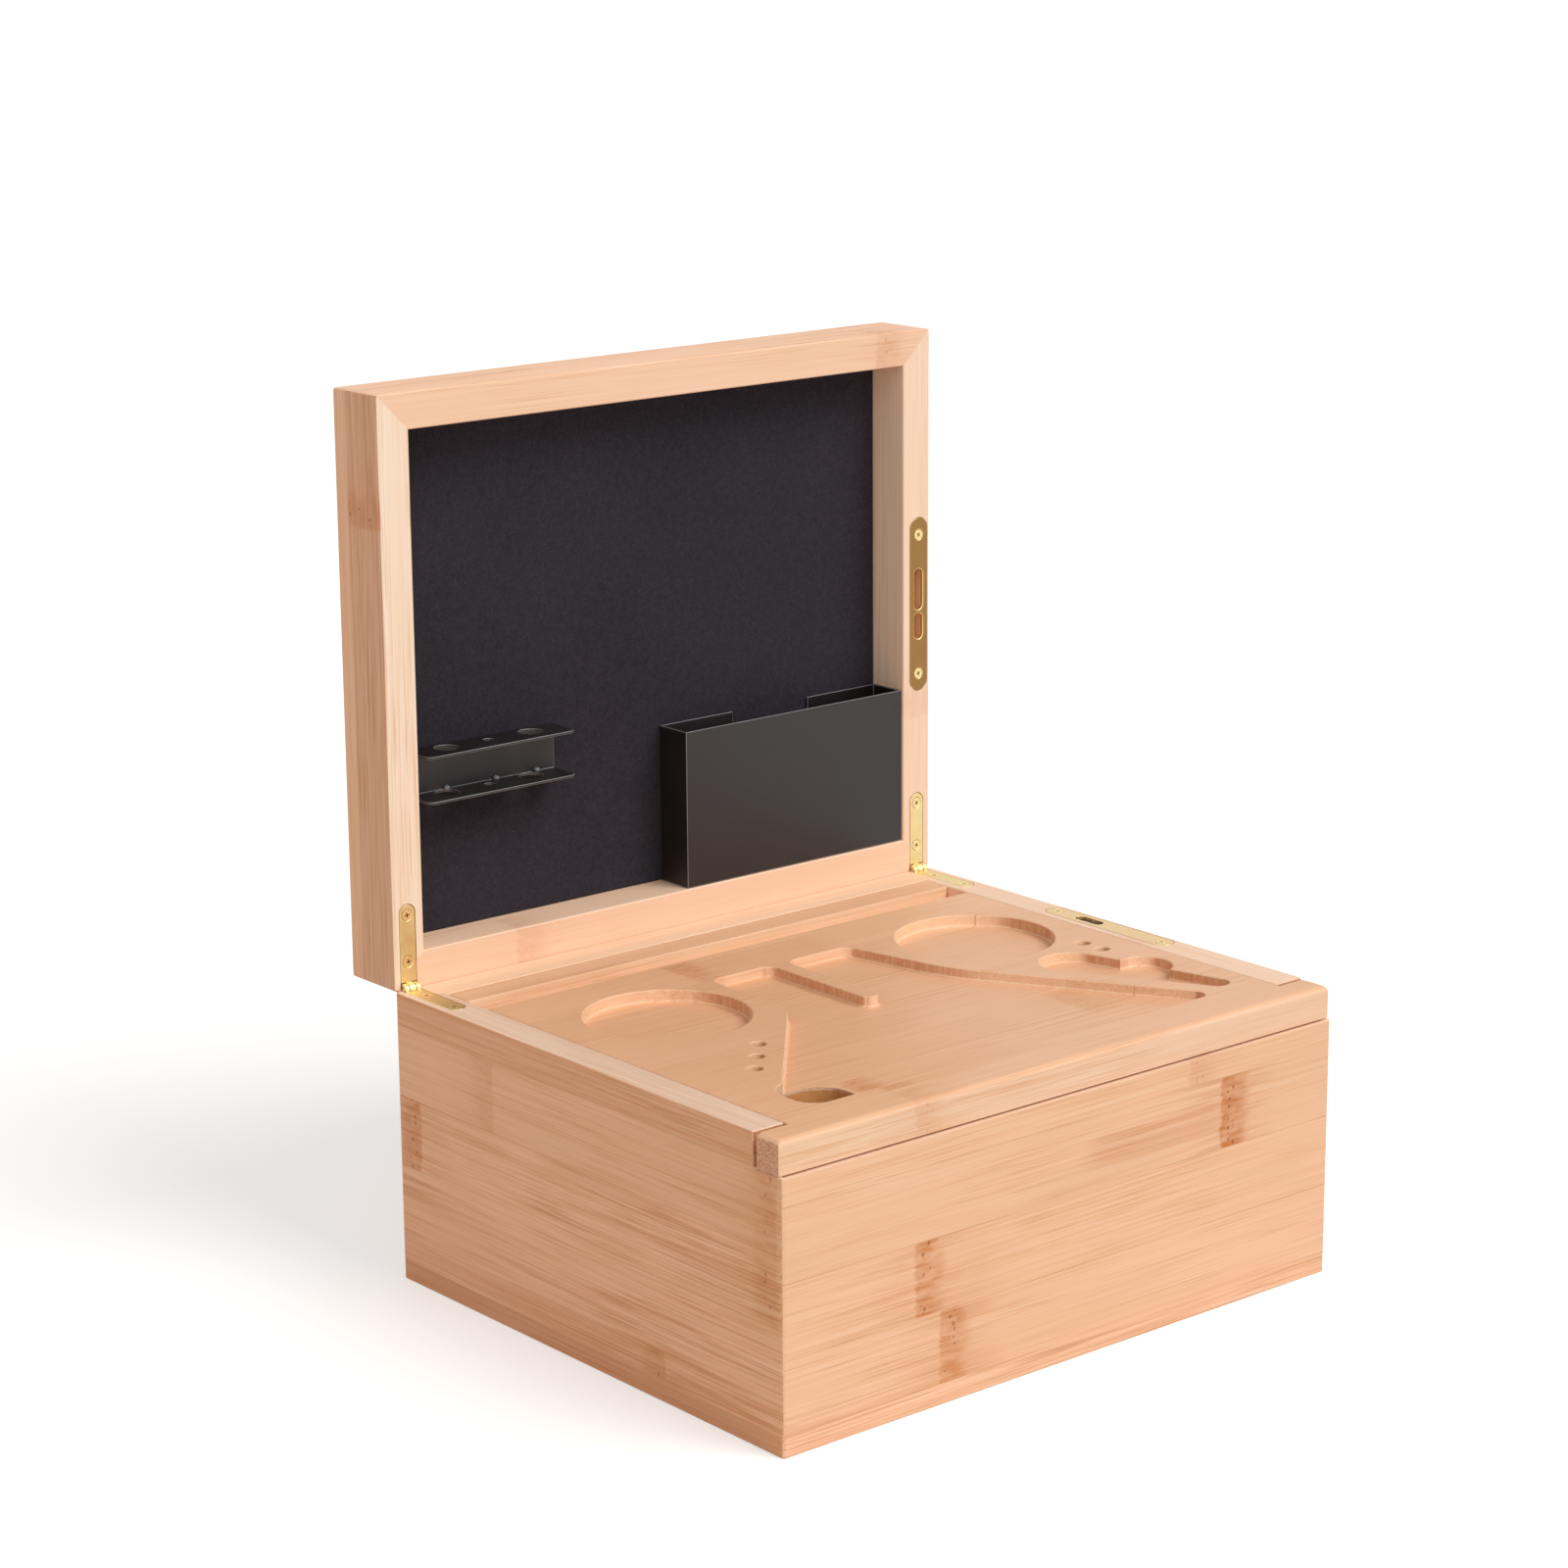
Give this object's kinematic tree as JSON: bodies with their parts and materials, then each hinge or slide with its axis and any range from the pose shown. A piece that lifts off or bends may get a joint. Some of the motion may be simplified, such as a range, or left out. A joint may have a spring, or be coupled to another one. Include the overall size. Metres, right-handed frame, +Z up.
{
  "type": "bamboo storage box",
  "caption": "Laminated bamboo box with a hinged lid, key lock and a sliding tray of routed pockets; metal tube rack and pocket inside the lid.",
  "frame": {"origin": "middle of the box's underside", "axes": "+X to the right as seen from the front, +Y to the back where the hinges are, +Z up"},
  "size_m": [0.271, 0.2544, 0.3399],
  "materials": {
    "bamboo": "satin lacquered laminated bamboo",
    "felt": "black pressed felt",
    "black_steel": "satin black coated sheet",
    "brass": "bright brass plate",
    "steel": "brushed"
  },
  "bodies": {
    "base": {"base_bottom_panel": "bamboo", "base_front_panel": "bamboo", "base_back_panel": "bamboo", "base_left_panel": "bamboo", "base_right_panel": "bamboo", "left_hinge_base_leaf": "brass", "left_hinge_pin": "brass", "left_hinge_base_screw_1": "brass", "left_hinge_base_screw_2": "brass", "right_hinge_base_leaf": "brass", "right_hinge_pin": "brass", "right_hinge_base_screw_1": "brass", "right_hinge_base_screw_2": "brass", "lock_face_plate": "brass", "lock_plate_screw_1": "brass", "lock_plate_screw_2": "brass", "lock_case": "steel", "lock_claw_pin": "steel", "keyhole_escutcheon": "brass"},
    "lid": {"lid_front_rail": "bamboo", "lid_back_rail": "bamboo", "lid_left_rail": "bamboo", "lid_right_rail": "bamboo", "lid_top_panel": "bamboo", "lid_lining": "felt", "tube_rack": "black_steel", "lid_pocket": "black_steel", "left_hinge_lid_leaf": "brass", "left_hinge_lid_screw_1": "brass", "left_hinge_lid_screw_2": "brass", "right_hinge_lid_leaf": "brass", "right_hinge_lid_screw_1": "brass", "right_hinge_lid_screw_2": "brass", "strike_plate": "brass", "strike_plate_screw_1": "brass", "strike_plate_screw_2": "brass"},
    "tray": {"sliding_tray": "bamboo"},
    "key": {"key_cylinder": "brass"},
    "claw": {"lock_claw": "steel"}
  },
  "joints": [
    {"name": "lid_hinge", "type": "hinge", "parent": "base", "child": "lid", "pos_m": [0, 0.1129, 0.114], "axis": [-1, 0, 0], "range_deg": [-90, 0]},
    {"name": "tray_slide", "type": "slide", "parent": "base", "child": "tray", "axis": [0, -1, 0], "range_m": [0, 0.19]},
    {"name": "key_turn", "type": "hinge", "parent": "base", "child": "key", "pos_m": [0.135, 0, 0.089], "axis": [-1, 0, 0], "range_deg": [0, 90]},
    {"name": "claw_swing", "type": "hinge", "parent": "base", "child": "claw", "pos_m": [0.1292, 0.003, 0.1068], "axis": [1, 0, 0], "range_deg": [0, 90]}
  ],
  "couplings": [
    {"joint": "claw_swing", "follows": "key_turn", "ratio": 1}
  ]
}
